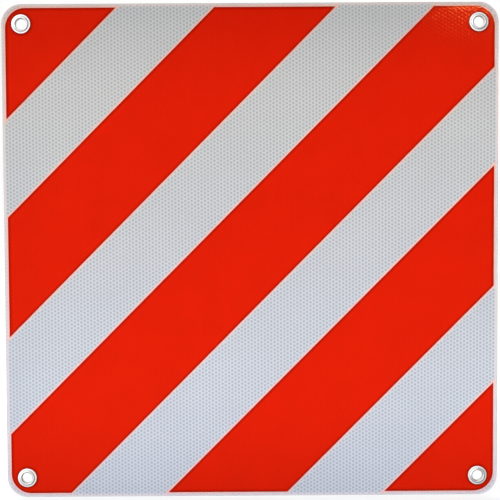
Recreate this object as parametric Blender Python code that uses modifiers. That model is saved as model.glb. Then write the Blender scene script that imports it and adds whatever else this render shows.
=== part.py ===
# Square reflective warning board for a load that hangs out behind a vehicle, with red and white
# diagonal stripes. A thin aluminium sheet carries a honeycomb reflective film on its front, five red
# printed fields lie on the film, and a two-part metal eyelet is clenched in each corner.
#
# The board stands upright with its printed front facing -Y, +X to the right of someone who looks at
# the front, and +Z up. The origin is the centre of the sheet's back face. Lengths are in metres.

import math

import bmesh
import bpy
from mathutils import Matrix, Vector

# Sheet
BOARD_SIDE = 0.500
BOARD_CORNER_RADIUS = 0.020
SHEET_THICKNESS = 0.0010
SHEET_EDGE_ROUND = 0.00015
MOUNTING_FIELD_SIDE = 0.400  # plain flat square on the back, between the eyelets

# Film and print
FILM_THICKNESS = 0.00035
FILM_MARGIN = 0.0004  # bare metal between the film and the sheet's edge
PRINT_THICKNESS = 0.00010
PRINT_MARGIN = 0.0040  # white border between the print and the sheet's edge
PRINT_CORNER_RADIUS = 0.020
RED_STRIPE_WIDTH = 0.0862  # square to the stripe
RED_CORNER_LEG = 0.1192  # along the sheet's edge, from its corner to where the corner's red field ends
STRIPE_SLOPE = math.radians(45)  # the stripes rise to the right

# Eyelets
EYELET_INSET = 0.020  # from the sheet's edges to the eyelet's axis
EYELET_BORE = 0.0105
EYELET_WALL = 0.0005
THROAT_RADIUS = 0.0012  # the round that leads from the bead's crest into the bore
BEAD_HEIGHT = 0.0016  # from under the skirt to the bead's crest
BEAD_FALL = 0.0016  # how far out from its crest the bead comes down to the skirt
SKIRT_WIDTH = 0.00145  # the flat ring around the bead
CLENCH_RADIUS = 0.0012  # the round of the barrel's end, rolled out over the washer
WASHER_DIAMETER = 0.0185
WASHER_THICKNESS = 0.0006
WASHER_EDGE_ROUND = 0.0002

# Clearances
BOND_GAP = 0.0001  # the film to the sheet, and the print to the film
SEAT_GAP = 0.0003  # what rests on another piece to its seat
BARREL_CLEARANCE = 0.0003  # around the eyelet's barrel in every hole

# Fineness of the round shapes
CORNER_SEGMENTS = 10
TURNED_STEPS = 32
ROUND_SEGMENTS = 5
FALL_SEGMENTS = 3

SHEET_FRONT = SHEET_THICKNESS
FILM_BACK = SHEET_FRONT + BOND_GAP
FILM_FRONT = FILM_BACK + FILM_THICKNESS
PRINT_BACK = FILM_FRONT + BOND_GAP
PRINT_FRONT = PRINT_BACK + PRINT_THICKNESS
FLANGE_SEAT = PRINT_FRONT + SEAT_GAP
WASHER_FRONT = -SEAT_GAP
WASHER_BACK = WASHER_FRONT - WASHER_THICKNESS
CLENCH_SEAT = WASHER_BACK - SEAT_GAP
BARREL_RADIUS = EYELET_BORE / 2 + EYELET_WALL
HOLE_RADIUS = BARREL_RADIUS + BARREL_CLEARANCE
EYELET_OFFSET = BOARD_SIDE / 2 - EYELET_INSET

CORNERS = {
    "top_left": (-1, 1),
    "top_right": (1, 1),
    "bottom_left": (-1, -1),
    "bottom_right": (1, -1),
}

# The red fields, from the top left corner to the bottom right one
RED_FIELDS = (
    "red_corner_top_left",
    "red_stripe_upper",
    "red_stripe_middle",
    "red_stripe_lower",
    "red_corner_bottom_right",
)

COLOURS = {
    "bare_aluminium": ((0.62, 0.63, 0.64), 0.38, 1.0),
    "white_reflective": ((0.62, 0.64, 0.66), 0.30, 0.0),
    "red_print": ((0.62, 0.02, 0.01), 0.25, 0.0),
    "nickel_plate": ((0.78, 0.77, 0.74), 0.22, 1.0),
    "zinc_plate": ((0.60, 0.61, 0.62), 0.35, 1.0),
}


def clear_scene():
    for item in list(bpy.data.objects):
        bpy.data.objects.remove(item, do_unlink=True)


def new_collection(name):
    collection = bpy.data.collections.new(name)
    bpy.context.scene.collection.children.link(collection)
    return collection


def new_material(name):
    colour, roughness, metallic = COLOURS[name]
    material = bpy.data.materials.new(name)
    material.use_nodes = True
    shader = material.node_tree.nodes["Principled BSDF"]
    shader.inputs["Base Color"].default_value = (*colour, 1.0)
    shader.inputs["Roughness"].default_value = roughness
    shader.inputs["Metallic"].default_value = metallic
    return material


def new_object(name, mesh, collection, material=None):
    item = bpy.data.objects.new(name, mesh)
    collection.objects.link(item)
    if material and not mesh.materials:
        mesh.materials.append(material)
    return item


def square_plate(name, side, corner_radius, back, front, split_at=None):
    # An upright square plate between two depths in front of the sheet's back face, with round corners.
    # Its two faces are split along the lines x, z = +-split_at where that is given.
    mesh = bpy.data.meshes.new(name)
    shape = bmesh.new()
    bmesh.ops.create_cube(shape, size=1.0)
    bmesh.ops.scale(shape, vec=(side, front - back, side), verts=shape.verts)
    bmesh.ops.translate(shape, vec=(0.0, -(front + back) / 2, 0.0), verts=shape.verts)
    corner_edges = [e for e in shape.edges if abs((e.verts[0].co - e.verts[1].co).y) > (front - back) / 2]
    bmesh.ops.bevel(
        shape,
        geom=corner_edges,
        offset=corner_radius,
        offset_type="OFFSET",
        segments=CORNER_SEGMENTS,
        profile=0.5,
        affect="EDGES",
    )
    if split_at:
        for normal in (Vector((1, 0, 0)), Vector((0, 0, 1))):
            for place in (-split_at, split_at):
                everything = shape.verts[:] + shape.edges[:] + shape.faces[:]
                bmesh.ops.bisect_plane(shape, geom=everything, plane_co=normal * place, plane_no=normal)
    bmesh.ops.recalc_face_normals(shape, faces=shape.faces)
    shape.to_mesh(mesh)
    shape.free()
    return mesh


def add_hole_cutters(collection):
    # One round cutter at each eyelet, long enough to pass through the sheet, the film and the print
    mesh = bpy.data.meshes.new("barrel_hole")
    shape = bmesh.new()
    bmesh.ops.create_cone(
        shape,
        cap_ends=True,
        segments=TURNED_STEPS,
        radius1=HOLE_RADIUS,
        radius2=HOLE_RADIUS,
        depth=8 * PRINT_FRONT,
        matrix=Matrix.Rotation(math.pi / 2, 4, "X"),
    )
    shape.to_mesh(mesh)
    shape.free()
    for corner, (right, up) in CORNERS.items():
        cutter = new_object(f"barrel_hole_{corner}", mesh, collection)
        cutter.location = (right * EYELET_OFFSET, 0.0, up * EYELET_OFFSET)
        hide_cutter(cutter)


def hide_cutter(cutter):
    cutter.hide_render = True
    cutter.display_type = "WIRE"


def cut_holes(item, hole_cutters):
    holes = item.modifiers.new("barrel_holes", "BOOLEAN")
    holes.operation = "DIFFERENCE"
    holes.solver = "EXACT"
    holes.operand_type = "COLLECTION"
    holes.collection = hole_cutters


def round_edges(item, width):
    rounding = item.modifiers.new("edge_round", "BEVEL")
    rounding.width = width
    rounding.segments = 2
    rounding.limit_method = "ANGLE"
    rounding.angle_limit = math.radians(60)


def add_sheet(collection, hole_cutters):
    # The metal sheet, punched at the corners, its cut edges slightly rounded
    mesh = square_plate(
        "aluminium_sheet", BOARD_SIDE, BOARD_CORNER_RADIUS, 0.0, SHEET_FRONT, MOUNTING_FIELD_SIDE / 2
    )
    sheet = new_object("aluminium_sheet", mesh, collection, new_material("bare_aluminium"))
    cut_holes(sheet, hole_cutters)
    round_edges(sheet, SHEET_EDGE_ROUND)


def add_film(collection, hole_cutters):
    # The white honeycomb film, laid over the whole front
    mesh = square_plate(
        "reflective_film",
        BOARD_SIDE - 2 * FILM_MARGIN,
        BOARD_CORNER_RADIUS - FILM_MARGIN,
        FILM_BACK,
        FILM_FRONT,
    )
    film = new_object("reflective_film", mesh, collection, new_material("white_reflective"))
    cut_holes(film, hole_cutters)


def stripe_limits(place):
    # How far a red field reaches from the middle, square to the stripes, for its place from the middle one.
    # A corner field starts where its legs end and has no outer limit of its own: it runs to beyond the
    # board's corner. The whole stripes are spaced evenly between the two corner fields.
    last = len(RED_FIELDS) // 2
    board_corner = BOARD_SIDE / 2 * (math.sin(STRIPE_SLOPE) + math.cos(STRIPE_SLOPE))
    corner_field = board_corner - RED_CORNER_LEG * math.sin(STRIPE_SLOPE)
    spacing = (corner_field + RED_STRIPE_WIDTH / 2) / last
    beyond = BOARD_SIDE
    if place == last:
        return corner_field, beyond
    if place == -last:
        return -beyond, -corner_field
    return place * spacing - RED_STRIPE_WIDTH / 2, place * spacing + RED_STRIPE_WIDTH / 2


def add_red_fields(collection, cutters, hole_cutters):
    # Each field is the printed square, cut to one stripe that rises to the right
    print_side = BOARD_SIDE - 2 * PRINT_MARGIN
    material = new_material("red_print")
    for index, name in enumerate(RED_FIELDS):
        mesh = square_plate(name, print_side, PRINT_CORNER_RADIUS, PRINT_BACK, PRINT_FRONT)
        field = new_object(name, mesh, collection, material)
        stripe = add_stripe_cutter(name, len(RED_FIELDS) // 2 - index, cutters)
        cut_holes(field, hole_cutters)
        keep = field.modifiers.new("stripe", "BOOLEAN")
        keep.operation = "INTERSECT"
        keep.solver = "EXACT"
        keep.object = stripe


def add_stripe_cutter(name, place, cutters):
    low, high = stripe_limits(place)
    mesh = bpy.data.meshes.new(f"{name}_cutter")
    shape = bmesh.new()
    bmesh.ops.create_cube(shape, size=1.0)
    bmesh.ops.scale(shape, vec=(2 * BOARD_SIDE, 8 * PRINT_FRONT, high - low), verts=shape.verts)
    bmesh.ops.translate(shape, vec=(0.0, 0.0, (high + low) / 2), verts=shape.verts)
    shape.to_mesh(mesh)
    shape.free()
    cutter = new_object(f"{name}_cutter", mesh, cutters)
    cutter.rotation_euler = (0.0, -STRIPE_SLOPE, 0.0)
    hide_cutter(cutter)
    return cutter


def arc(centre, radius, start, end, segments=ROUND_SEGMENTS):
    # Points (radius from the axis, height along it) from one angle to another, in degrees
    points = []
    for step in range(segments + 1):
        angle = math.radians(start + (end - start) * step / segments)
        points.append((centre[0] + radius * math.cos(angle), centre[1] + radius * math.sin(angle)))
    return points


def bead_fall(crest, foot, depth):
    # Points from the bead's crest out to its foot: an arc that leaves the crest level and a second one that
    # reaches the foot level. Depth is how far inside the metal they run.
    run, drop = foot[0] - crest[0], crest[1] - foot[1]
    radius = (run**2 + drop**2) / (4 * drop)
    turn = 2 * math.degrees(math.atan(drop / run))
    hump = arc((crest[0], crest[1] - radius), radius - depth, 90, 90 - turn, FALL_SEGMENTS)
    hollow = arc((foot[0], foot[1] + radius), radius + depth, 270 - turn, 270, FALL_SEGMENTS)
    return hump + hollow[1:]


def eyelet_profile():
    # The pressed metal's section, clockwise from the bead's crest: out over the skirt to its rim, back under
    # the bead, down the barrel's outside, round the clenched end, and up the bore. Heights count forward
    # from the sheet's back face.
    crest = (EYELET_BORE / 2 + THROAT_RADIUS, FLANGE_SEAT + BEAD_HEIGHT)
    foot = (crest[0] + BEAD_FALL, FLANGE_SEAT + EYELET_WALL)
    rim = foot[0] + SKIRT_WIDTH
    throat = (crest[0], crest[1] - THROAT_RADIUS)
    clench = (EYELET_BORE / 2 + CLENCH_RADIUS, CLENCH_SEAT)
    over_bead = bead_fall(crest, foot, 0.0)
    under_bead = bead_fall(crest, foot, EYELET_WALL)
    skirt_rim = [(rim, foot[1]), (rim, FLANGE_SEAT)]
    under_throat = arc(throat, THROAT_RADIUS - EYELET_WALL, 90, 180)
    inside_clench = arc(clench, CLENCH_RADIUS - EYELET_WALL, 180, 360)
    outside_clench = arc(clench, CLENCH_RADIUS, 360, 180)
    over_throat = arc(throat, THROAT_RADIUS, 180, 90)
    # Where two stretches share a point, it is written once
    return (
        over_bead
        + skirt_rim
        + under_bead[::-1]
        + under_throat[1:]
        + inside_clench
        + outside_clench
        + over_throat[:-1]
    )


def washer_profile():
    # A flat ring whose outer back edge is rounded, clockwise from its inner front edge
    inner, outer = HOLE_RADIUS, WASHER_DIAMETER / 2
    corner = (outer - WASHER_EDGE_ROUND, WASHER_BACK + WASHER_EDGE_ROUND)
    rounded = arc(corner, WASHER_EDGE_ROUND, 0, -90, 2)
    return [(inner, WASHER_FRONT), (outer, WASHER_FRONT), *rounded, (inner, WASHER_BACK)]


def turned_mesh(name, profile):
    mesh = bpy.data.meshes.new(name)
    shape = bmesh.new()
    points = [shape.verts.new((radius, 0.0, height)) for radius, height in profile]
    for index, point in enumerate(points):
        shape.edges.new((point, points[(index + 1) % len(points)]))
    shape.to_mesh(mesh)
    shape.free()
    return mesh


def add_turned_piece(name, mesh, corner, collection):
    # The mesh is turned about its own Z, which then points forward, and stands on the corner's eyelet axis
    right, up = corner
    piece = new_object(name, mesh, collection)
    piece.rotation_euler = (math.pi / 2, 0.0, 0.0)
    piece.location = (right * EYELET_OFFSET, 0.0, up * EYELET_OFFSET)
    turning = piece.modifiers.new("turning", "SCREW")
    turning.steps = TURNED_STEPS
    turning.render_steps = TURNED_STEPS
    turning.merge_threshold = 0.00001
    turning.use_smooth_shade = True


def add_eyelets(collection):
    eyelet = turned_mesh("eyelet", eyelet_profile())
    washer = turned_mesh("eyelet_washer", washer_profile())
    eyelet.materials.append(new_material("nickel_plate"))
    washer.materials.append(new_material("zinc_plate"))
    for name, corner in CORNERS.items():
        add_turned_piece(f"eyelet_{name}", eyelet, corner, collection)
        add_turned_piece(f"eyelet_washer_{name}", washer, corner, collection)


def main():
    clear_scene()
    board = new_collection("reflective_warning_board")
    cutters = new_collection("cutters")
    hole_cutters = bpy.data.collections.new("barrel_hole_cutters")
    cutters.children.link(hole_cutters)
    add_hole_cutters(hole_cutters)
    add_sheet(board, hole_cutters)
    add_film(board, hole_cutters)
    add_red_fields(board, cutters, hole_cutters)
    add_eyelets(board)


main()
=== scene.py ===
# Looks of the reflective warning board: honeycomb film, red print, aluminium sheet and turned eyelets,
# with the studio and the camera. Lengths are in metres. The printed front faces -Y, and +Z is up.

import math

import bmesh
import bpy
from mathutils import Matrix, Vector


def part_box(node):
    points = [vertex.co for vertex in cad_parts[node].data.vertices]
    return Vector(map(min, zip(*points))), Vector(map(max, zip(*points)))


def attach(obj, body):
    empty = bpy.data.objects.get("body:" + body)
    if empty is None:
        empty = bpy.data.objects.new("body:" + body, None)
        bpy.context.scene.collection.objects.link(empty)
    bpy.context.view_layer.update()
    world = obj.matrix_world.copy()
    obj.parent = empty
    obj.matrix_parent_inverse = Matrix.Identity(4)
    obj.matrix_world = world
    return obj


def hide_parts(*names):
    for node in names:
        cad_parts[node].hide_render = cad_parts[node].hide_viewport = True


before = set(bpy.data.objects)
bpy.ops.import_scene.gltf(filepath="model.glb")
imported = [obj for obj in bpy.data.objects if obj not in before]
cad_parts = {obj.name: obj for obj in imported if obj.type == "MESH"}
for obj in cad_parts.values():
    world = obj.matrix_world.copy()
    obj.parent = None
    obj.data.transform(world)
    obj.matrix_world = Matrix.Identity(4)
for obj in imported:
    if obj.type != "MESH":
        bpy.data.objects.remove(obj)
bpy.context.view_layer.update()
sheetLow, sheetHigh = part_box("aluminium_sheet")
filmLow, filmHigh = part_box("reflective_film")
printLow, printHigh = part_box("red_stripe_middle")
eyeletLow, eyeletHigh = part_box("eyelet_top_right")
washerLow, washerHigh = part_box("eyelet_washer_top_right")
eyeletOffset = (eyeletLow.x + eyeletHigh.x) / 2  # from the board's middle to each eyelet's axis
eyeletRim = (eyeletHigh.x - eyeletLow.x) / 2

redFields = [
    "red_corner_top_left",
    "red_stripe_upper",
    "red_stripe_middle",
    "red_stripe_lower",
    "red_corner_bottom_right",
]
corners = {
    "top_left": (-1, 1),
    "top_right": (1, 1),
    "bottom_left": (-1, -1),
    "bottom_right": (1, -1),
}
boardSizes = {
    "rounding": 0.020,  # of the board's corners
    "printRounding": 0.020,  # of the red print's outer corners
}

print("frame loaded")

# Camera

cameraView = {
    "place": (-0.0033, -1.0144, 0.0427),
    "yaw": -0.117,  # degrees
    "pitch": -2.317,
    "roll": 0.317,
    "lens": 72.0,
    "sensor": 36.0,
    "near": 0.01,
}


def addCamera():
    camera = bpy.data.cameras.new("camera")
    camera.lens = cameraView["lens"]
    camera.sensor_width = cameraView["sensor"]
    camera.sensor_fit = "HORIZONTAL"
    camera.clip_start = cameraView["near"]
    item = bpy.data.objects.new("camera", camera)
    turn = Matrix.Rotation(math.radians(cameraView["yaw"]), 4, "Z")
    turn = turn @ Matrix.Rotation(math.radians(cameraView["pitch"]), 4, "X")
    turn = turn @ Matrix.Rotation(math.radians(cameraView["roll"]), 4, "Y")
    upright = Matrix.Rotation(math.radians(90), 4, "X")
    item.matrix_world = Matrix.Translation(cameraView["place"]) @ turn @ upright
    bpy.context.scene.collection.objects.link(item)
    bpy.context.scene.camera = item


addCamera()

# Node helpers


def addNode(tree, kind, inputs=None, **settings):
    node = tree.nodes.new(kind)
    for name, value in settings.items():
        setattr(node, name, value)
    for key, value in (inputs or {}).items():
        if isinstance(value, bpy.types.NodeSocket):
            tree.links.new(value, node.inputs[key])
        else:
            node.inputs[key].default_value = value
    return node


def addSocket(tree, name, kind, way="INPUT", value=None):
    socket = tree.interface.new_socket(name=name, in_out=way, socket_type=kind)
    if value is not None:
        socket.default_value = value
    return socket


def maths(tree, operation, first, second=0.0, clamp=False):
    settings = {"operation": operation, "use_clamp": clamp}
    return addNode(tree, "ShaderNodeMath", {0: first, 1: second}, **settings).outputs[0]


def ramp(tree, value, fromLow, fromHigh, toLow=0.0, toHigh=1.0, smooth=False):
    settings = {"interpolation_type": "SMOOTHSTEP" if smooth else "LINEAR"}
    inputs = {
        "Value": value,
        "From Min": fromLow,
        "From Max": fromHigh,
        "To Min": toLow,
        "To Max": toHigh,
    }
    return addNode(tree, "ShaderNodeMapRange", inputs, **settings).outputs["Result"]


def mixColour(tree, factor, first, second, blend="MIX"):
    inputs = {0: factor, 6: first, 7: second}
    return addNode(tree, "ShaderNodeMix", inputs, data_type="RGBA", blend_type=blend).outputs[2]


def greyOf(tree, tone):
    return addNode(tree, "ShaderNodeCombineColor", {0: tone, 1: tone, 2: tone}).outputs[0]


def noise(tree, where, scale, **others):
    inputs = {"Vector": where, "Scale": scale}
    inputs.update(others)
    return addNode(tree, "ShaderNodeTexNoise", inputs).outputs[0]


def newGroup(name, inputs, outputs):
    group = bpy.data.node_groups.new(name, "ShaderNodeTree")
    for label, (kind, value) in inputs.items():
        addSocket(group, label, kind, value=value)
    for label, kind in outputs.items():
        addSocket(group, label, kind, way="OUTPUT")
    return group, group.nodes.new("NodeGroupInput"), group.nodes.new("NodeGroupOutput")


def useGroup(tree, group, values=None):
    return addNode(tree, "ShaderNodeGroup", values, node_tree=group)


def newMaterial(name):
    material = bpy.data.materials.new(name)
    material.use_nodes = True
    tree = material.node_tree
    return material, tree, tree.nodes["Principled BSDF"]


# Effects that several materials share

effectSizes = {
    "patchDetail": 3.0,
    "grainDetail": 1.0,
    "smearDetail": 4.0,
    "smearWarp": 0.6,
    "smearRange": (0.45, 0.7),  # of the noise, from clean to smeared
    "scratchDetail": 1.0,
    "scratchRange": (0.70, 0.78),
    "scratchWays": ((0.5, 55.0), (1.3, 40.0), (2.45, 70.0)),  # turn in radians, length for a width of 1
}


def makeMottling():
    # Soft patches and fine grain, as a factor for a colour and a height for a bump
    inputs = {
        "Patch Scale": ("NodeSocketFloat", 12.0),
        "Patch Depth": ("NodeSocketFloat", 0.03),
        "Grain Scale": ("NodeSocketFloat", 4000.0),
        "Grain Depth": ("NodeSocketFloat", 0.04),
    }
    outputs = {"Tone": "NodeSocketFloat", "Grain": "NodeSocketFloat"}
    group, given, result = newGroup("mottling", inputs, outputs)
    given = given.outputs
    where = addNode(group, "ShaderNodeTexCoord").outputs["Object"]
    patches = noise(group, where, given["Patch Scale"], Detail=effectSizes["patchDetail"])
    grain = noise(group, where, given["Grain Scale"], Detail=effectSizes["grainDetail"])
    patchShift = maths(group, "SUBTRACT", patches, 0.5)
    patchShift = maths(group, "MULTIPLY", patchShift, given["Patch Depth"])
    grainShift = maths(group, "SUBTRACT", grain, 0.5)
    grainShift = maths(group, "MULTIPLY", grainShift, given["Grain Depth"])
    shift = maths(group, "ADD", maths(group, "ADD", patchShift, grainShift), 0.5)
    group.links.new(maths(group, "MULTIPLY", shift, 2.0), result.inputs["Tone"])
    group.links.new(grain, result.inputs["Grain"])
    return group


def makeHandling():
    # Marks of handling: smears that dull a surface, and fine scratches that cut across it
    inputs = {
        "Smear Scale": ("NodeSocketFloat", 9.0),
        "Scratch Scale": ("NodeSocketFloat", 60.0),
        "Scratch Share": ("NodeSocketFloat", 0.3),
    }
    outputs = {"Smears": "NodeSocketFloat", "Scratches": "NodeSocketFloat"}
    group, given, result = newGroup("handling", inputs, outputs)
    given = given.outputs
    where = addNode(group, "ShaderNodeTexCoord").outputs["Object"]
    smearSettings = {"Detail": effectSizes["smearDetail"], "Distortion": effectSizes["smearWarp"]}
    smears = noise(group, where, given["Smear Scale"], **smearSettings)
    smears = ramp(group, smears, *effectSizes["smearRange"], smooth=True)
    group.links.new(smears, result.inputs["Smears"])
    total = 0.0
    for turn, stretch in effectSizes["scratchWays"]:
        turnInputs = {"Vector": where, "Rotation": (0.0, turn, 0.0)}
        turned = addNode(group, "ShaderNodeMapping", turnInputs).outputs[0]
        spreadInputs = {"Vector": turned, "Scale": (1.0, 1.0, stretch)}
        spread = addNode(group, "ShaderNodeMapping", spreadInputs).outputs[0]
        lines = noise(group, spread, given["Scratch Scale"], Detail=effectSizes["scratchDetail"])
        thin = ramp(group, lines, *effectSizes["scratchRange"])
        total = maths(group, "MAXIMUM", thin, total)
    shown = maths(group, "MULTIPLY", total, given["Scratch Share"], clamp=True)
    group.links.new(shown, result.inputs["Scratches"])
    return group


def fromEyelet(tree, across, up, offset):
    # Distance from the nearest eyelet's axis
    aside = maths(tree, "SUBTRACT", across, offset)
    above = maths(tree, "SUBTRACT", up, offset)
    away = addNode(tree, "ShaderNodeCombineXYZ", {0: aside, 2: above}).outputs[0]
    return addNode(tree, "ShaderNodeVectorMath", {0: away}, operation="LENGTH").outputs["Value"]


def insideSquare(tree, across, up, reach, rounding):
    # Distance in from the outline of a square with round corners, below zero outside it
    straight = maths(tree, "SUBTRACT", reach, rounding)
    aside = maths(tree, "SUBTRACT", across, straight)
    above = maths(tree, "SUBTRACT", up, straight)
    cornerInputs = {0: maths(tree, "MAXIMUM", aside, 0.0), 2: maths(tree, "MAXIMUM", above, 0.0)}
    corner = addNode(tree, "ShaderNodeCombineXYZ", cornerInputs).outputs[0]
    corner = addNode(tree, "ShaderNodeVectorMath", {0: corner}, operation="LENGTH").outputs["Value"]
    inside = maths(tree, "MINIMUM", maths(tree, "MAXIMUM", aside, above), 0.0)
    return maths(tree, "SUBTRACT", rounding, maths(tree, "ADD", corner, inside))


def makePlaceOnBoard():
    # Distance of a point from the nearest eyelet's axis, and from the board's edge
    inputs = {
        "Eyelet Offset": ("NodeSocketFloat", eyeletOffset),
        "Board Reach": ("NodeSocketFloat", sheetHigh.x),
        "Board Rounding": ("NodeSocketFloat", boardSizes["rounding"]),
    }
    outputs = {"Radius": "NodeSocketFloat", "Edge Distance": "NodeSocketFloat"}
    group, given, result = newGroup("placeOnBoard", inputs, outputs)
    given = given.outputs
    where = addNode(group, "ShaderNodeTexCoord").outputs["Object"]
    parts = addNode(group, "ShaderNodeSeparateXYZ", {0: where}).outputs
    across = maths(group, "ABSOLUTE", parts[0])
    up = maths(group, "ABSOLUTE", parts[2])
    radius = fromEyelet(group, across, up, given["Eyelet Offset"])
    group.links.new(radius, result.inputs["Radius"])
    edge = insideSquare(group, across, up, given["Board Reach"], given["Board Rounding"])
    group.links.new(edge, result.inputs["Edge Distance"])
    return group


def acrossStripes(node):
    # Least and greatest distance of a red field from the board's diagonal, square to the stripes
    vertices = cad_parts[node].data.vertices
    places = [(vertex.co.x - vertex.co.z) / math.sqrt(2) for vertex in vertices]
    return min(places), max(places)


def makePrintEdge():
    # Distance from the nearest edge of the red print, below zero on the white film
    middleEnd = acrossStripes("red_stripe_middle")[1]
    lowerStart, lowerEnd = acrossStripes("red_stripe_lower")
    inputs = {
        "Print Reach": ("NodeSocketFloat", printHigh.x),
        "Print Rounding": ("NodeSocketFloat", boardSizes["printRounding"]),
        "Stripe Spacing": ("NodeSocketFloat", (lowerStart + lowerEnd) / 2),
        "White Middle": ("NodeSocketFloat", (middleEnd + lowerStart) / 2),
        "White Half Width": ("NodeSocketFloat", (lowerStart - middleEnd) / 2),
        "Eyelet Offset": ("NodeSocketFloat", eyeletOffset),
        "Eyelet Rim": ("NodeSocketFloat", eyeletRim),
    }
    group, given, result = newGroup("printEdge", inputs, {"Depth": "NodeSocketFloat"})
    given = given.outputs
    where = addNode(group, "ShaderNodeTexCoord").outputs["Object"]
    parts = addNode(group, "ShaderNodeSeparateXYZ", {0: where}).outputs
    across = maths(group, "ABSOLUTE", parts[0])
    up = maths(group, "ABSOLUTE", parts[2])
    outline = insideSquare(group, across, up, given["Print Reach"], given["Print Rounding"])
    fromDiagonal = maths(group, "ABSOLUTE", maths(group, "SUBTRACT", parts[0], parts[2]))
    fromDiagonal = maths(group, "MULTIPLY", fromDiagonal, math.sqrt(0.5))
    turns = maths(group, "SUBTRACT", fromDiagonal, given["White Middle"])
    turns = maths(group, "DIVIDE", turns, given["Stripe Spacing"])
    turns = maths(group, "SUBTRACT", turns, maths(group, "ROUND", turns))
    fromWhite = maths(group, "MULTIPLY", maths(group, "ABSOLUTE", turns), given["Stripe Spacing"])
    stripe = maths(group, "SUBTRACT", fromWhite, given["White Half Width"])
    radius = fromEyelet(group, across, up, given["Eyelet Offset"])
    rim = maths(group, "SUBTRACT", radius, given["Eyelet Rim"])
    depth = maths(group, "MINIMUM", maths(group, "MINIMUM", outline, stripe), rim)
    group.links.new(depth, result.inputs["Depth"])
    return group


mottling = makeMottling()
handling = makeHandling()
placeOnBoard = makePlaceOnBoard()
printEdge = makePrintEdge()

# Materials


def addTones(tree, finish, grainDepth):
    values = {
        "Patch Scale": finish["patchScale"],
        "Patch Depth": finish["patchDepth"],
        "Grain Scale": finish["grainScale"],
        "Grain Depth": grainDepth,
    }
    return useGroup(tree, mottling, values).outputs


def addMarks(tree, finish):
    values = {
        "Smear Scale": finish["smearScale"],
        "Scratch Scale": finish["scratchScale"],
        "Scratch Share": finish["scratchShare"],
    }
    return useGroup(tree, handling, values).outputs


def addRoughness(tree, shader, marks, finish):
    rough = maths(tree, "MULTIPLY", marks["Smears"], finish["smearRoughness"])
    rough = maths(tree, "ADD", rough, finish["roughness"])
    tree.links.new(maths(tree, "ADD", rough, marks["Scratches"]), shader.inputs["Roughness"])


def addBump(tree, shader, height, finish):
    inputs = {
        "Strength": finish["bumpStrength"],
        "Distance": finish["bumpDistance"],
        "Height": height,
    }
    bump = addNode(tree, "ShaderNodeBump", inputs).outputs[0]
    tree.links.new(bump, shader.inputs["Normal"])


filmFinish = {
    "wall": (0.690, 0.690, 0.705, 1.0),  # the seams between the cells
    "wallGrain": 0.04,
    "cell": (0.487, 0.493, 0.508, 1.0),  # the beaded cells
    "cellGrain": 0.10,
    "halo": (1.0, 0.595, 0.505, 1.0),  # pale pink line beside the red
    "haloFull": 0.0008,  # full as far as this from the red, gone at its reach
    "haloReach": 0.0028,
    "edgeHighlight": (0.97, 0.81, 0.775, 1.0),  # painted highlight, a pale line along the board's edge
    "edgeHighlightShare": 0.88,
    "edgeReach": 0.004,
    "patchScale": 14.0,
    "patchDepth": 0.05,
    "grainScale": 0.5 / 0.00012,  # beads of 0.12 mm
    "smearScale": 7.0,
    "scratchScale": 40.0,
    "scratchShare": 0.35,
    "roughness": 0.34,
    "smearRoughness": 0.14,
    "bumpStrength": 0.25,
    "bumpDistance": 0.00004,
    "specular": 0.30,
    "coat": 0.5,
    "coatRoughness": 0.12,
}


def makeFilm(name, colour, grainDepth):
    finish = filmFinish
    material, tree, shader = newMaterial(name)
    tones = addTones(tree, finish, grainDepth)
    fromEdge = useGroup(tree, placeOnBoard).outputs["Edge Distance"]
    marks = addMarks(tree, finish)
    # Painted highlight: the film is paler towards the board's edge
    edge = ramp(tree, fromEdge, 0.0, finish["edgeReach"], finish["edgeHighlightShare"], 0.0)
    edgeHighlighted = mixColour(tree, edge, colour, finish["edgeHighlight"])
    depth = useGroup(tree, printEdge).outputs["Depth"]
    halo = ramp(tree, depth, -finish["haloReach"], -finish["haloFull"], smooth=True)
    haloed = mixColour(tree, halo, edgeHighlighted, finish["halo"])
    toned = mixColour(tree, 1.0, haloed, greyOf(tree, tones["Tone"]), blend="MULTIPLY")
    tree.links.new(toned, shader.inputs["Base Color"])
    addRoughness(tree, shader, marks, finish)
    addBump(tree, shader, tones["Grain"], finish)
    shader.inputs["Specular IOR Level"].default_value = finish["specular"]
    shader.inputs["Coat Weight"].default_value = finish["coat"]
    shader.inputs["Coat Roughness"].default_value = finish["coatRoughness"]
    return material


printFinish = {
    "face": (0.790, 0.0147, 0.0024, 1.0),
    "cell": (0.765, 0.0134, 0.0022, 1.0),
    "glint": (1.0, 0.22, 0.05, 1.0),  # light that comes back through the red
    "edgeShade": 0.52,  # painted shade, the red is darker along the print's edges and around the eyelet rims
    "edgeReach": 0.0035,
    "patchScale": 30.0,
    "patchDepth": 0.05,
    "grainScale": 2600.0,
    "grainDepth": 0.05,
    "smearScale": 6.0,
    "scratchScale": 40.0,
    "scratchShare": 0.02,
    "roughness": 0.215,
    "smearRoughness": 0.03,
    "bumpStrength": 0.15,
    "bumpDistance": 0.00003,
    "specular": 0.45,
}


def makePrint(name, colour):
    finish = printFinish
    material, tree, shader = newMaterial(name)
    tones = addTones(tree, finish, finish["grainDepth"])
    marks = addMarks(tree, finish)
    depth = useGroup(tree, printEdge).outputs["Depth"]
    # Painted shade: the red darkens along the print's edges and next to the eyelet rims
    edge = ramp(tree, depth, 0.0, finish["edgeReach"], finish["edgeShade"], 1.0, smooth=True)
    tone = maths(tree, "MULTIPLY", tones["Tone"], edge)
    toned = mixColour(tree, 1.0, colour, greyOf(tree, tone), blend="MULTIPLY")
    tree.links.new(toned, shader.inputs["Base Color"])
    addRoughness(tree, shader, marks, finish)
    addBump(tree, shader, tones["Grain"], finish)
    shader.inputs["Specular IOR Level"].default_value = finish["specular"]
    shader.inputs["Specular Tint"].default_value = finish["glint"]
    return material


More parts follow.
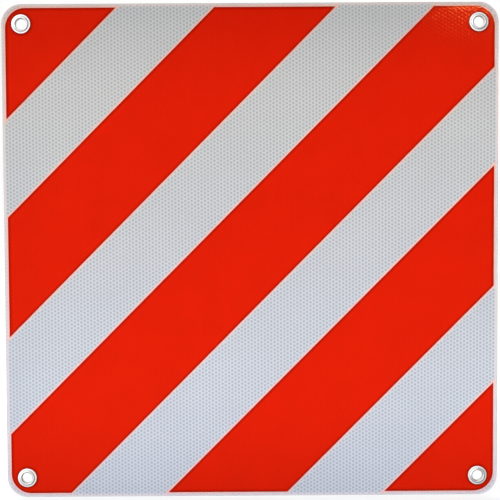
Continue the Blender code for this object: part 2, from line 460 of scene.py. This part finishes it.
sheetFinish = {
    "colour": (0.60, 0.605, 0.615, 1.0),
    "dull": (0.49, 0.495, 0.50, 1.0),  # where it is smeared
    "dullShare": 0.30,
    "scratch": (0.85, 0.86, 0.87, 1.0),
    "scratchTint": 0.5,
    "grainStretch": 90.0,  # how much longer the rolling lines are than wide
    "grainScale": 22.0,
    "grainDetail": 4.0,
    "grainBreak": 0.7,
    "grainRange": (0.3, 0.7),
    "grainTone": (0.84, 1.10),
    "smearScale": 8.0,
    "scratchScale": 30.0,
    "scratchShare": 1.0,
    "roughness": (0.25, 0.39),
    "smearRoughness": 0.12,
    "scratchDepth": 0.8,
    "bumpStrength": 0.2,
    "bumpDistance": 0.00005,
    "anisotropy": 0.50,
}


def makeSheet():
    finish = sheetFinish
    material, tree, shader = newMaterial("rolledAluminium")
    where = addNode(tree, "ShaderNodeTexCoord").outputs["Object"]
    stretchInputs = {"Vector": where, "Scale": (finish["grainStretch"], 1.0, 1.0)}
    lines = addNode(tree, "ShaderNodeMapping", stretchInputs).outputs[0]
    grainSettings = {"Detail": finish["grainDetail"], "Roughness": finish["grainBreak"]}
    grain = noise(tree, lines, finish["grainScale"], **grainSettings)
    marks = addMarks(tree, finish)
    dull = maths(tree, "MULTIPLY", marks["Smears"], finish["dullShare"])
    base = mixColour(tree, dull, finish["colour"], finish["dull"])
    grainTone = ramp(tree, grain, *finish["grainRange"], *finish["grainTone"])
    base = mixColour(tree, 1.0, base, greyOf(tree, grainTone), blend="MULTIPLY")
    scratched = maths(tree, "MULTIPLY", marks["Scratches"], finish["scratchTint"])
    bright = mixColour(tree, scratched, base, finish["scratch"])
    tree.links.new(bright, shader.inputs["Base Color"])
    shader.inputs["Metallic"].default_value = 1.0
    rough = ramp(tree, grain, *finish["grainRange"], *finish["roughness"])
    smeared = maths(tree, "MULTIPLY", marks["Smears"], finish["smearRoughness"])
    tree.links.new(maths(tree, "ADD", rough, smeared), shader.inputs["Roughness"])
    cut = maths(tree, "MULTIPLY", marks["Scratches"], finish["scratchDepth"])
    addBump(tree, shader, maths(tree, "SUBTRACT", grain, cut), finish)
    shader.inputs["Anisotropic"].default_value = finish["anisotropy"]
    return material


# Plated metal, darkened in its crevice by soil and painted shade, and in its throat by tarnish and painted
# shade. Radii are from the eyelet's axis.
platingFinish = {
    "patchScale": 260.0,
    "patchDepth": 0.10,
    "grainScale": 5000.0,
    "grainDepth": 0.06,
    "smearScale": 120.0,
    "scratchScale": 500.0,
    "scratchShare": 0.8,
    "creviceSoilShadeShare": 0.42,
    "throatTarnishShadeShare": 0.62,
    "throatRadii": (0.0056, 0.0063),  # tarnish and painted shade inside the first, none outside the second
    "smearRoughness": 0.12,
    "scratchRoughness": 0.15,
    "creviceRoughness": 0.25,
    "bumpStrength": 0.12,
    "bumpDistance": 0.00004,
}
nickelFinish = {
    "colour": (0.80, 0.79, 0.78, 1.0),
    "soilAndShade": (0.22, 0.205, 0.195, 1.0),
    "roughness": 0.24,
    "creviceRadius": 0.00775,
    "creviceReach": 0.0009,
}
zincFinish = {
    "colour": (0.60, 0.61, 0.62, 1.0),
    "soilAndShade": (0.25, 0.25, 0.24, 1.0),
    "roughness": 0.36,
    "creviceRadius": 0.0076,
    "creviceReach": 0.0008,
}


def makePlating(name, metal):
    finish = platingFinish
    material, tree, shader = newMaterial(name)
    tones = addTones(tree, finish, finish["grainDepth"])
    radius = useGroup(tree, placeOnBoard).outputs["Radius"]
    marks = addMarks(tree, finish)
    # Painted shade with soil: the colour darkens in the crevice at the bead's foot, where shade falls
    away = maths(tree, "ABSOLUTE", maths(tree, "SUBTRACT", radius, metal["creviceRadius"]))
    creviceEnds = (0.0, metal["creviceReach"], finish["creviceSoilShadeShare"], 0.0)
    creviceSoilShade = ramp(tree, away, *creviceEnds, smooth=True)
    tone = greyOf(tree, tones["Tone"])
    clean = mixColour(tree, 1.0, metal["colour"], tone, blend="MULTIPLY")
    # Painted shade with tarnish: the colour darkens inside the eyelet's throat
    throat = ramp(tree, radius, *finish["throatRadii"], finish["throatTarnishShadeShare"], 0.0, smooth=True)
    soiledAndShaded = mixColour(tree, creviceSoilShade, clean, metal["soilAndShade"])
    tarnishedAndShaded = mixColour(tree, throat, soiledAndShaded, metal["soilAndShade"])
    tree.links.new(tarnishedAndShaded, shader.inputs["Base Color"])
    shader.inputs["Metallic"].default_value = 1.0
    rough = metal["roughness"]
    for mark, share in (
        (marks["Smears"], finish["smearRoughness"]),
        (marks["Scratches"], finish["scratchRoughness"]),
        (creviceSoilShade, finish["creviceRoughness"]),
    ):
        rough = maths(tree, "ADD", rough, maths(tree, "MULTIPLY", mark, share))
    tree.links.new(rough, shader.inputs["Roughness"])
    addBump(tree, shader, tones["Grain"], finish)
    return material


filmWalls = makeFilm("filmWalls", filmFinish["wall"], filmFinish["wallGrain"])
filmCells = makeFilm("filmCells", filmFinish["cell"], filmFinish["cellGrain"])
printFace = makePrint("redPrint", printFinish["face"])
printCells = makePrint("redPrintCells", printFinish["cell"])
sheetMetal = makeSheet()
nickel = makePlating("nickelPlate", nickelFinish)
zinc = makePlating("zincPlate", zincFinish)
print("materials made")

# Carried-over pieces get their finish


def setMaterial(name, material):
    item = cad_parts[name]
    for slot in item.material_slots:
        slot.material = material
    if not item.material_slots:
        item.data.materials.append(material)


setMaterial("aluminium_sheet", sheetMetal)
setMaterial("reflective_film", filmWalls)
for field in redFields:
    setMaterial(field, printFace)

# Honeycomb cells, raised a little from the film and, under the red print, from the print's face

cellSizes = {
    "pitch": 0.00384,  # up and down a column of cells
    "wall": 0.00120,  # seam between two cells
    "printWall": 0.00086,  # the same on the red print
    "slope": 0.00034,  # how far a cell's top lies in from its foot
    "printSlope": 0.00090,  # the same on the red print
    "rise": 0.00005,
    "printRise": 0.00007,
    "sink": 0.00002,  # how far a cell's foot lies under the face that it stands on
    "tilt": 0.9,  # degrees, the most that a cell leans
    "eyeletClear": 0.0080,  # no cell nearer than this to an eyelet's axis
    "outlineSlack": 0.6,  # pitches that a cell's middle may lie outside the outline
    "outlineMargin": 0.001,  # the outline reaches this far behind and in front of the face that is dressed
    "rayStart": 0.01,  # how far in front of the board the rays start that look for the red print
    "smoothAngle": 30,
    "seed": 7,
}


def newTree(name, inputs):
    tree = bpy.data.node_groups.new(name, "GeometryNodeTree")
    for label, (kind, value) in inputs.items():
        addSocket(tree, label, kind, value=value)
    addSocket(tree, "Geometry", "NodeSocketGeometry", way="OUTPUT")
    return tree, tree.nodes.new("NodeGroupInput").outputs, tree.nodes.new("NodeGroupOutput").inputs


def vectorNode(tree, x=0.0, y=0.0, z=0.0):
    return addNode(tree, "ShaderNodeCombineXYZ", {0: x, 1: y, 2: z}).outputs[0]


def makeCellTree():
    # Cells lie flat in the tree, x across and y up the board, and are stood up at its end
    inputs = {
        "Field Side": ("NodeSocketFloat", sheetHigh.x - sheetLow.x),
        "Cell Pitch": ("NodeSocketFloat", cellSizes["pitch"]),
        "Wall Width": ("NodeSocketFloat", cellSizes["wall"]),
        "Cell Slope": ("NodeSocketFloat", cellSizes["slope"]),
        "Cell Rise": ("NodeSocketFloat", cellSizes["rise"]),
        "Cell Sink": ("NodeSocketFloat", cellSizes["sink"]),
        "Cell Tilt": ("NodeSocketFloat", math.radians(cellSizes["tilt"])),
        "Face Depth": ("NodeSocketFloat", 0.0),
        "Eyelet Offset": ("NodeSocketFloat", eyeletOffset),
        "Eyelet Clear": ("NodeSocketFloat", cellSizes["eyeletClear"]),
        "Seed": ("NodeSocketInt", cellSizes["seed"]),
        "Outline": ("NodeSocketObject", None),
        "Cover": ("NodeSocketObject", None),
        "Material": ("NodeSocketMaterial", None),
    }
    tree, given, result = newTree("honeycombCells", inputs)
    pitch = given["Cell Pitch"]
    columnStep = maths(tree, "MULTIPLY", pitch, math.sqrt(3) / 2)
    doubleStep = maths(tree, "MULTIPLY", columnStep, 2.0)
    columns = maths(tree, "CEIL", maths(tree, "DIVIDE", given["Field Side"], doubleStep))
    rows = maths(tree, "CEIL", maths(tree, "DIVIDE", given["Field Side"], pitch))
    points = tree.nodes.new("GeometryNodeJoinGeometry")
    for shift in (0.0, 0.5):
        gridInputs = {
            "Size X": maths(tree, "MULTIPLY", doubleStep, columns),
            "Size Y": maths(tree, "MULTIPLY", pitch, rows),
            "Vertices X": maths(tree, "ADD", columns, 1.0),
            "Vertices Y": maths(tree, "ADD", rows, 1.0),
        }
        grid = addNode(tree, "GeometryNodeMeshGrid", gridInputs)
        aside = maths(tree, "MULTIPLY", doubleStep, shift)
        upwards = maths(tree, "MULTIPLY", pitch, shift)
        moveInputs = {"Geometry": grid.outputs["Mesh"], "Translation": vectorNode(tree, aside, upwards)}
        moved = addNode(tree, "GeometryNodeTransform", moveInputs)
        tree.links.new(moved.outputs[0], points.inputs[0])

    # Points that stay: near the outline, away from the eyelets, and not hidden under the cover
    place = addNode(tree, "GeometryNodeInputPosition").outputs[0]
    parts = addNode(tree, "ShaderNodeSeparateXYZ", {0: place}).outputs
    standing = vectorNode(tree, parts[0], given["Face Depth"], parts[1])
    outline = addNode(tree, "GeometryNodeObjectInfo", {"Object": given["Outline"]}).outputs["Geometry"]
    nearInputs = {"Target": outline, "Source Position": standing}
    near = addNode(tree, "GeometryNodeProximity", nearInputs, target_element="FACES").outputs["Distance"]
    slack = maths(tree, "MULTIPLY", pitch, cellSizes["outlineSlack"])
    outside = maths(tree, "GREATER_THAN", near, slack)
    away = []
    for part in (parts[0], parts[1]):
        away.append(maths(tree, "SUBTRACT", maths(tree, "ABSOLUTE", part), given["Eyelet Offset"]))
    reach = addNode(tree, "ShaderNodeVectorMath", {0: vectorNode(tree, *away)}, operation="LENGTH")
    atEyelet = maths(tree, "LESS_THAN", reach.outputs["Value"], given["Eyelet Clear"])
    cover = addNode(tree, "GeometryNodeObjectInfo", {"Object": given["Cover"]}).outputs["Geometry"]
    covered = 1.0
    for corner in range(6):
        angle = math.radians(60 * corner)
        aside = maths(tree, "MULTIPLY", pitch, math.cos(angle) / math.sqrt(3))
        upwards = maths(tree, "MULTIPLY", pitch, math.sin(angle) / math.sqrt(3))
        aside = maths(tree, "ADD", parts[0], aside)
        upwards = maths(tree, "ADD", parts[1], upwards)
        start = vectorNode(tree, aside, -cellSizes["rayStart"], upwards)
        rayInputs = {"Target Geometry": cover, "Source Position": start, "Ray Direction": (0.0, 1.0, 0.0)}
        ray = addNode(tree, "GeometryNodeRaycast", rayInputs)
        covered = maths(tree, "MULTIPLY", ray.outputs["Is Hit"], covered)
    dropped = maths(tree, "MAXIMUM", maths(tree, "MAXIMUM", outside, atEyelet), covered)
    keepInputs = {"Geometry": points.outputs[0], "Selection": dropped}
    kept = addNode(tree, "GeometryNodeDeleteGeometry", keepInputs, domain="POINT").outputs[0]

    # One cell, its foot at the pitch less the seam
    foot = maths(tree, "SUBTRACT", pitch, given["Wall Width"])
    foot = maths(tree, "MULTIPLY", foot, 1 / math.sqrt(3))
    coneInputs = {
        "Vertices": 6,
        "Radius Bottom": foot,
        "Radius Top": maths(tree, "SUBTRACT", foot, given["Cell Slope"]),
        "Depth": maths(tree, "ADD", given["Cell Rise"], given["Cell Sink"]),
    }
    cell = addNode(tree, "GeometryNodeMeshCone", coneInputs).outputs["Mesh"]
    lowered = vectorNode(tree, 0.0, 0.0, maths(tree, "MULTIPLY", given["Cell Sink"], -1.0))
    cell = addNode(tree, "GeometryNodeTransform", {"Geometry": cell, "Translation": lowered}).outputs[0]
    spread = vectorNode(tree, given["Cell Tilt"], given["Cell Tilt"])
    leastInputs = {0: spread, 1: (-1.0, -1.0, 0.0)}
    least = addNode(tree, "ShaderNodeVectorMath", leastInputs, operation="MULTIPLY").outputs[0]
    leanInputs = {0: least, 1: spread, "Seed": given["Seed"]}
    lean = addNode(tree, "FunctionNodeRandomValue", leanInputs, data_type="FLOAT_VECTOR")
    cellInputs = {"Points": kept, "Instance": cell, "Rotation": lean.outputs[0]}
    cells = addNode(tree, "GeometryNodeInstanceOnPoints", cellInputs).outputs[0]
    cells = addNode(tree, "GeometryNodeRealizeInstances", {0: cells}).outputs[0]
    standInputs = {
        "Geometry": cells,
        "Rotation": (math.radians(90), 0.0, 0.0),
        "Translation": vectorNode(tree, 0.0, given["Face Depth"], 0.0),
    }
    cells = addNode(tree, "GeometryNodeTransform", standInputs).outputs[0]

    # Cells that cross the outline are cut off along it
    cut = addNode(tree, "GeometryNodeMeshBoolean", operation="INTERSECT", solver="MANIFOLD")
    tree.links.new(cells, cut.inputs[1])
    tree.links.new(outline, cut.inputs[1])
    whole = addNode(tree, "GeometryNodeRealizeInstances", {0: cut.outputs[0]}).outputs[0]
    painted = addNode(tree, "GeometryNodeSetMaterial", {"Geometry": whole, "Material": given["Material"]})
    tree.links.new(painted.outputs[0], result[0])
    return tree


def mergedCopy(name, nodes, low, high):
    # CAD plates joined, merged and stretched between two depths, as an outline to cut with
    mesh = bpy.data.meshes.new(name)
    shape = bmesh.new()
    for node in nodes:
        shape.from_mesh(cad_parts[node].data)
    weldDistance = 1e-7
    bmesh.ops.remove_doubles(shape, verts=shape.verts, dist=weldDistance)
    depths = [vertex.co.y for vertex in shape.verts]
    back, front = max(depths), min(depths)
    for vertex in shape.verts:
        share = (vertex.co.y - front) / (back - front)
        vertex.co.y = low + (high - low) * share
    shape.to_mesh(mesh)
    shape.free()
    item = bpy.data.objects.new(name, mesh)
    bpy.context.scene.collection.objects.link(item)
    return item


def meshFromTree(name, tree, values):
    carrier = bpy.data.objects.new(name + "Carrier", bpy.data.meshes.new(name + "Carrier"))
    bpy.context.scene.collection.objects.link(carrier)
    modifier = carrier.modifiers.new("nodes", "NODES")
    modifier.node_group = tree
    for item in tree.interface.items_tree:
        if item.item_type == "SOCKET" and item.in_out == "INPUT" and item.name in values:
            modifier[item.identifier] = values[item.name]
    bpy.context.view_layer.update()
    evaluated = carrier.evaluated_get(bpy.context.evaluated_depsgraph_get())
    mesh = bpy.data.meshes.new_from_object(evaluated)
    mesh.name = name
    carrier.modifiers.remove(modifier)
    bpy.data.objects.remove(carrier)
    piece = bpy.data.objects.new(name, mesh)
    bpy.context.scene.collection.objects.link(piece)
    return piece


def smooth(piece, angle):
    piece.data.shade_smooth()
    piece.data.set_sharp_from_angle(angle=math.radians(angle))


cellTree = makeCellTree()


def addCells(name, nodes, faceDepth, material, cover=None):
    # The white film has a cover, the red print, and keeps the cells that the print leaves in sight
    margin = cellSizes["outlineMargin"]
    outline = mergedCopy(name + "Outline", nodes, faceDepth - margin, faceDepth + margin)
    values = {
        "Wall Width": cellSizes["wall" if cover else "printWall"],
        "Cell Slope": cellSizes["slope" if cover else "printSlope"],
        "Cell Rise": cellSizes["rise" if cover else "printRise"],
        "Face Depth": faceDepth,
        "Outline": outline,
        "Material": material,
    }
    if cover:
        values["Cover"] = cover
    piece = meshFromTree(name, cellTree, values)
    bpy.data.objects.remove(outline)
    smooth(piece, cellSizes["smoothAngle"])
    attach(piece, "root")
    print(name, len(piece.data.polygons), "faces")
    return piece


redPieces = bpy.data.collections.new("redPieces")
redCover = mergedCopy("redCover", redFields, printLow.y, printHigh.y)
addCells("film_cells", ["reflective_film"], filmLow.y, filmCells, redCover)
bpy.data.objects.remove(redCover)
for field in redFields:
    cells = addCells(field + "_cells", [field], printLow.y, printCells)
    redPieces.objects.link(cells)
    redPieces.objects.link(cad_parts[field])
print("honeycomb made")

# Eyelets and washers, turned finely

eyeletSizes = {
    "bore": 0.0105,
    "wall": 0.0005,
    "throatRadius": 0.0012,
    "beadHeight": 0.0016,
    "beadFall": 0.0016,
    "skirt": 0.00145,
    "rimRound": 0.00032,
    "rimBreak": 0.00008,  # bevel where the rim meets the film
    "clenchRadius": 0.0012,
    "fineness": 10,  # steps on each round of the section
    "rimFineness": 4,
    "steps": 112,  # around the axis
    "smoothAngle": 40,
}


def arcPoints(centre, radius, start, end, count):
    points = []
    for index in range(count + 1):
        angle = math.radians(start + (end - start) * index / count)
        points.append((centre[0] + radius * math.cos(angle), centre[1] + radius * math.sin(angle)))
    return points


def beadFall(crest, foot, depth, count):
    # From the crest down to the skirt: a hump and a hollow of one radius, depth under the outer face
    run = foot[0] - crest[0]
    drop = crest[1] - foot[1]
    radius = (run**2 + drop**2) / (4 * drop)
    turn = 2 * math.degrees(math.atan(drop / run))
    hump = arcPoints((crest[0], crest[1] - radius), radius - depth, 90, 90 - turn, count)
    hollow = arcPoints((foot[0], foot[1] + radius), radius + depth, 270 - turn, 270, count)
    return hump + hollow[1:]


def eyeletProfile():
    # The section as (radius, height), height forward of the sheet's back face
    sizes = eyeletSizes
    count = sizes["fineness"]
    boreRadius = sizes["bore"] / 2
    crest = (boreRadius + sizes["throatRadius"], -eyeletLow.y)
    seat = crest[1] - sizes["beadHeight"]
    foot = (crest[0] + sizes["beadFall"], seat + sizes["wall"])
    rim = eyeletRim
    rounding = sizes["rimRound"]
    rimCentre = (rim - rounding, foot[1] - rounding)
    throat = (crest[0], crest[1] - sizes["throatRadius"])
    clench = (boreRadius + sizes["clenchRadius"], -eyeletHigh.y + sizes["clenchRadius"])
    points = beadFall(crest, foot, 0.0, count)
    points += arcPoints(rimCentre, rounding, 90, 0, sizes["rimFineness"])
    points += [(rim, seat + sizes["rimBreak"]), (rim - sizes["rimBreak"], seat)]
    points += beadFall(crest, foot, sizes["wall"], count)[::-1]
    points += arcPoints(throat, sizes["throatRadius"] - sizes["wall"], 90, 180, count)[1:]
    points += arcPoints(clench, sizes["clenchRadius"] - sizes["wall"], 180, 360, count)
    points += arcPoints(clench, sizes["clenchRadius"], 360, 180, 2 * count)
    points += arcPoints(throat, sizes["throatRadius"], 180, 90, count)[:-1]
    return points


def turned(name, profile, centre, sizes, material, slot):
    # A closed section turned about an axis along Y, through centre = (x, z)
    mesh = bpy.data.meshes.new(name)
    shape = bmesh.new()
    steps = sizes["steps"]
    rings = []
    for step in range(steps):
        angle = 2 * math.pi * step / steps
        ring = []
        for radius, height in profile:
            x = centre[0] + radius * math.cos(angle)
            z = centre[1] + radius * math.sin(angle)
            ring.append(shape.verts.new((x, -height, z)))
        rings.append(ring)
    count = len(profile)
    for step in range(steps):
        this, after = rings[step], rings[(step + 1) % steps]
        for index in range(count):
            follow = (index + 1) % count
            shape.faces.new((this[index], this[follow], after[follow], after[index]))
    bmesh.ops.recalc_face_normals(shape, faces=shape.faces)
    shape.to_mesh(mesh)
    shape.free()
    mesh.materials.append(material)
    piece = bpy.data.objects.new(name, mesh)
    bpy.context.scene.collection.objects.link(piece)
    smooth(piece, sizes["smoothAngle"])
    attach(piece, "root")
    return piece


washerSizes = {
    "edgeRound": 0.0002,
    "holeRadius": 0.00605,
    "fineness": 4,
    "steps": 96,
    "smoothAngle": 40,
}


def washerProfile():
    outer = (washerHigh.x - washerLow.x) / 2
    inner = washerSizes["holeRadius"]
    front, back = -washerLow.y, -washerHigh.y
    rounding = washerSizes["edgeRound"]
    count = washerSizes["fineness"]
    points = arcPoints((outer - rounding, front - rounding), rounding, 90, 0, count)
    points += arcPoints((outer - rounding, back + rounding), rounding, 0, -90, count)
    points += arcPoints((inner + rounding, back + rounding), rounding, 270, 180, count)
    points += arcPoints((inner + rounding, front - rounding), rounding, 180, 90, count)
    return points


metalPieces = bpy.data.collections.new("metalPieces")
for corner, (across, up) in corners.items():
    centre = (across * eyeletOffset, up * eyeletOffset)
    name = "turned_eyelet_" + corner
    eyelet = turned(name, eyeletProfile(), centre, eyeletSizes, nickel, "nickel_plate")
    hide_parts("eyelet_" + corner)
    name = "turned_washer_" + corner
    washer = turned(name, washerProfile(), centre, washerSizes, zinc, "zinc_plate")
    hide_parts("eyelet_washer_" + corner)
    metalPieces.objects.link(eyelet)
print("eyelets and washers turned")

# Creases in the print at the top right eyelet, where the film was stretched as the eyelet was clenched

creaseSizes = {
    "width": 0.0026,
    "height": 0.00012,
    "sink": 0.00002,
    "section": ((-0.5, 0.0), (-0.12, 0.84), (0.0, 1.0), (0.12, 0.84), (0.5, 0.0)),  # of width and height
    "swellPower": 0.6,  # below 1, a crease swells quickly from its pointed ends
    "steps": 8,
    "smoothAngle": 60,
}
# From and to, as (x, z) from the middle of the board, upper left end first
straightCreases = [
    ((0.1965, 0.2455), (0.2030, 0.2410)),
    ((0.2010, 0.2457), (0.2080, 0.2408)),
    ((0.2058, 0.2457), (0.2128, 0.2407)),
    ((0.2104, 0.2456), (0.2178, 0.2405)),
    ((0.2150, 0.2457), (0.2226, 0.2406)),
    ((0.2196, 0.2457), (0.2290, 0.2412)),
    ((0.2244, 0.2456), (0.2330, 0.2428)),
    ((0.2197, 0.2292), (0.2258, 0.2196)),
]
# Radius from the eyelet's axis, and the angles between which the crease runs, counted from +X
roundCreases = [(0.0116, 82.0, 22.0), (0.0131, 74.0, 38.0)]


def addRidge(shape, path):
    # A low ridge along path that runs out to a point at both ends, its foot under the print's face
    width, height, sink = creaseSizes["width"], creaseSizes["height"], creaseSizes["sink"]
    section = creaseSizes["section"]
    count = len(path) - 1
    rings = []
    for index, point in enumerate(path):
        before = path[max(index - 1, 0)]
        after = path[min(index + 1, count)]
        along = Vector((after[0] - before[0], after[1] - before[1])).normalized()
        side = Vector((-along.y, along.x))
        swell = math.sin(math.pi * index / count) ** creaseSizes["swellPower"]
        ring = []
        for aside, up in section:
            x = point[0] + side.x * aside * width * swell
            z = point[1] + side.y * aside * width * swell
            y = printLow.y + sink - (height + sink) * up * swell
            if 0 < index < count or not ring:
                ring.append(shape.verts.new((x, y, z)))
        rings.append(ring)
    for first, second in zip(rings, rings[1:]):
        for index in range(len(section)):
            follow = (index + 1) % len(section)
            if len(first) == 1:
                shape.faces.new((first[0], second[index], second[follow]))
            elif len(second) == 1:
                shape.faces.new((first[follow], first[index], second[0]))
            else:
                shape.faces.new((first[index], second[index], second[follow], first[follow]))


def addCreases():
    shape = bmesh.new()
    steps = creaseSizes["steps"]
    for start, end in straightCreases:
        path = [Vector(start).lerp(Vector(end), index / steps) for index in range(steps + 1)]
        addRidge(shape, path)
    for radius, start, end in roundCreases:
        path = arcPoints((eyeletOffset, eyeletOffset), radius, start, end, steps)
        addRidge(shape, path)
    bmesh.ops.recalc_face_normals(shape, faces=shape.faces)
    mesh = bpy.data.meshes.new("corner_creases")
    shape.to_mesh(mesh)
    shape.free()
    mesh.materials.append(printFace)
    piece = bpy.data.objects.new("corner_creases", mesh)
    bpy.context.scene.collection.objects.link(piece)
    smooth(piece, creaseSizes["smoothAngle"])
    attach(piece, "root")
    redPieces.objects.link(piece)


addCreases()
print("creases made")

# Studio

# Spread, cone and tilt are in degrees
studio = {
    "front": {
        "size": (0.63, 0.50),
        "place": (0.015, -1.15, -0.003),
        "aim": (0.015, 0.0, -0.003),
        "spread": 13.0,
        "energy": 0.385,
        "colour": (1.0, 0.93, 0.74),
    },
    "back": {
        "size": (1.4, 1.0),
        "place": (0.3, 1.3, 1.2),
        "aim": (0.0, 0.0, 0.0),
        "spread": 150.0,
        "energy": 6.0,
        "colour": (1.0, 1.0, 1.0),
    },
    "key": {
        "size": (0.7, 0.7),
        "place": (-1.5, -0.9, -0.05),
        "aim": (0.0, 0.0, 0.0),
        "spread": 140.0,
        "energy": 0.5,
        "colour": (1.0, 0.93, 0.80),
    },
    "low": {
        "size": (1.2, 0.10),
        "place": (0.0, -0.32, -0.18),
        "aim": (0.0, 0.0, -0.2),
        "spread": 170.0,
        "energy": 0.92,
        "colour": (0.33, 0.54, 1.0),
    },
    "eyelet": {
        "size": (2.1, 1.9),
        "place": (-0.16, -1.3, -0.04),
        "aim": (0.0, 0.0, 0.0),
        "spread": 180.0,
        "energy": 15.5,
        "colour": (1.0, 1.0, 1.0),
    },
    "glint": {
        "radius": 0.03,
        "aim": (0.231, 0.0, 0.283),
        "distance": 2.2,
        "cone": 3.1,
        "energy": 140.0,
    },
    "glintTurns": (30.0, 50.0, 90.0),  # which way the slopes that send the glints to the camera face
    "glintTilt": 6.6,
    "roomLeft": 1.84,  # how bright the room is on each side, where 1 is white
    "roomRight": 0.35,
    "roomTurn": (-0.45, 0.55),  # x of the directions between which it goes from one to the other
    "roomBelow": 0.25,  # share of that which is left under the floor, where only the metal mirrors it
    "belowTurn": (-0.45, 0.0),  # z of the directions between which that share is reached
    "behindTurn": (0.45, 1.0),  # y of those between which metal comes to mirror the white background
    "darkCone": (22.0, 38.0),  # degrees from straight ahead of the front, where the room is dark
    "darkLevel": 0.02,
    "floorReach": 4.0,
    "floorDrop": 0.0015,
    "floorRoughness": 0.9,
    "floorColour": (0.90, 0.90, 0.90, 1.0),
    "floorBounce": (0.16, 0.16, 0.16, 1.0),  # the floor gives little light back, so that the red stays deep
    "floorGlow": 0.72,  # share of plain white in what the camera sees of the floor
}


def addAreaLamp(name, setup, glossy=True):
    lamp = bpy.data.lights.new(name, "AREA")
    lamp.shape = "RECTANGLE"
    lamp.size, lamp.size_y = setup["size"]
    lamp.spread = math.radians(setup["spread"])
    lamp.energy = setup["energy"]
    lamp.color = setup["colour"]
    item = bpy.data.objects.new(name, lamp)
    item.location = setup["place"]
    aim = Vector(setup["aim"]) - Vector(setup["place"])
    item.rotation_euler = aim.to_track_quat("-Z", "Y").to_euler()
    item.visible_camera = False
    item.visible_glossy = glossy
    lamp.cycles.use_multiple_importance_sampling = glossy  # or a trace of it still shows in the red
    bpy.context.scene.collection.objects.link(item)
    return item


def addGlintLamp(turn):
    # A narrow lamp that slopes of the cells by one corner mirror into the camera
    setup = studio["glint"]
    aim = Vector(setup["aim"])
    tilt, turn = math.radians(studio["glintTilt"]), math.radians(turn)
    leaning = math.sin(tilt)
    facing = Vector((leaning * math.cos(turn), -math.cos(tilt), leaning * math.sin(turn)))
    toCamera = (Vector(cameraView["place"]) - aim).normalized()
    toLamp = 2 * facing.dot(toCamera) * facing - toCamera
    glint = bpy.data.lights.new("glintLamp", "SPOT")
    glint.shadow_soft_size = setup["radius"]
    glint.spot_size = math.radians(setup["cone"])
    glint.spot_blend = 1.0
    glint.energy = setup["energy"]
    glint.cycles.use_multiple_importance_sampling = False
    item = bpy.data.objects.new("glintLamp", glint)
    item.location = aim + toLamp * setup["distance"]
    item.rotation_euler = (-toLamp).to_track_quat("-Z", "Y").to_euler()
    item.visible_camera = False
    item.visible_diffuse = False
    item.light_linking.receiver_collection = redPieces
    bpy.context.scene.collection.objects.link(item)


def addStudio():
    addAreaLamp("frontLamp", studio["front"], glossy=False)
    addAreaLamp("backLamp", studio["back"])
    addAreaLamp("keyLamp", studio["key"], glossy=False)
    addAreaLamp("lowLamp", studio["low"], glossy=False)
    eyeletLamp = addAreaLamp("eyeletLamp", studio["eyelet"])
    eyeletLamp.light_linking.receiver_collection = metalPieces
    for turn in studio["glintTurns"]:
        addGlintLamp(turn)


def addWorld():
    world = bpy.data.worlds.new("world")
    bpy.context.scene.world = world
    world.use_nodes = True
    tree = world.node_tree
    tree.nodes.clear()
    way = addNode(tree, "ShaderNodeTexCoord").outputs["Generated"]
    parts = addNode(tree, "ShaderNodeSeparateXYZ", {0: way}).outputs
    sides = (studio["roomLeft"], studio["roomRight"])
    lit = ramp(tree, parts[0], *studio["roomTurn"], *sides, smooth=True)
    below = ramp(tree, parts[2], *studio["belowTurn"], studio["roomBelow"], 1.0, smooth=True)
    lit = maths(tree, "MULTIPLY", lit, below)
    aheadInputs = {0: way, 1: (0.0, -1.0, 0.0)}
    ahead = addNode(tree, "ShaderNodeVectorMath", aheadInputs, operation="DOT_PRODUCT")
    wide, narrow = (math.cos(math.radians(angle)) for angle in reversed(studio["darkCone"]))
    level = ramp(tree, ahead.outputs["Value"], wide, narrow, lit, studio["darkLevel"], smooth=True)
    room = addNode(tree, "ShaderNodeBackground", {"Color": (1.0, 1.0, 1.0, 1.0), "Strength": level})
    white = addNode(tree, "ShaderNodeBackground", {"Color": (1.0, 1.0, 1.0, 1.0)})
    path = addNode(tree, "ShaderNodeLightPath").outputs
    behind = ramp(tree, parts[1], *studio["behindTurn"])
    mirrored = maths(tree, "MULTIPLY", path["Is Glossy Ray"], behind)
    straight = maths(tree, "MAXIMUM", path["Is Camera Ray"], path["Is Transmission Ray"])
    straight = maths(tree, "MAXIMUM", straight, mirrored)
    both = addNode(tree, "ShaderNodeMixShader", {0: straight, 1: room.outputs[0], 2: white.outputs[0]})
    output = tree.nodes.new("ShaderNodeOutputWorld")
    tree.links.new(both.outputs[0], output.inputs[0])


def addFloor():
    mesh = bpy.data.meshes.new("floor")
    shape = bmesh.new()
    bmesh.ops.create_grid(shape, x_segments=1, y_segments=1, size=studio["floorReach"])
    level = sheetLow.z - studio["floorDrop"]
    bmesh.ops.translate(shape, vec=(0.0, 0.0, level), verts=shape.verts)
    shape.to_mesh(mesh)
    shape.free()
    floor = bpy.data.objects.new("floor", mesh)
    bpy.context.scene.collection.objects.link(floor)
    material, tree, shader = newMaterial("paleFloor")
    path = addNode(tree, "ShaderNodeLightPath").outputs
    seen = mixColour(tree, path["Is Camera Ray"], studio["floorBounce"], studio["floorColour"])
    tree.links.new(seen, shader.inputs["Base Color"])
    shader.inputs["Roughness"].default_value = studio["floorRoughness"]
    shader.inputs["Specular IOR Level"].default_value = 0.0
    glow = addNode(tree, "ShaderNodeEmission", {"Color": (1.0, 1.0, 1.0, 1.0)})
    share = maths(tree, "MULTIPLY", path["Is Camera Ray"], studio["floorGlow"])
    mixed = addNode(tree, "ShaderNodeMixShader", {0: share, 1: shader.outputs[0], 2: glow.outputs[0]})
    tree.links.new(mixed.outputs[0], tree.nodes["Material Output"].inputs["Surface"])
    mesh.materials.append(material)
    floor.visible_glossy = False  # a floor mirrored in the board would veil the red
    floor.visible_shadow = False


addStudio()
addWorld()
addFloor()
bpy.context.scene.view_settings.view_transform = "Standard"
print("studio set")
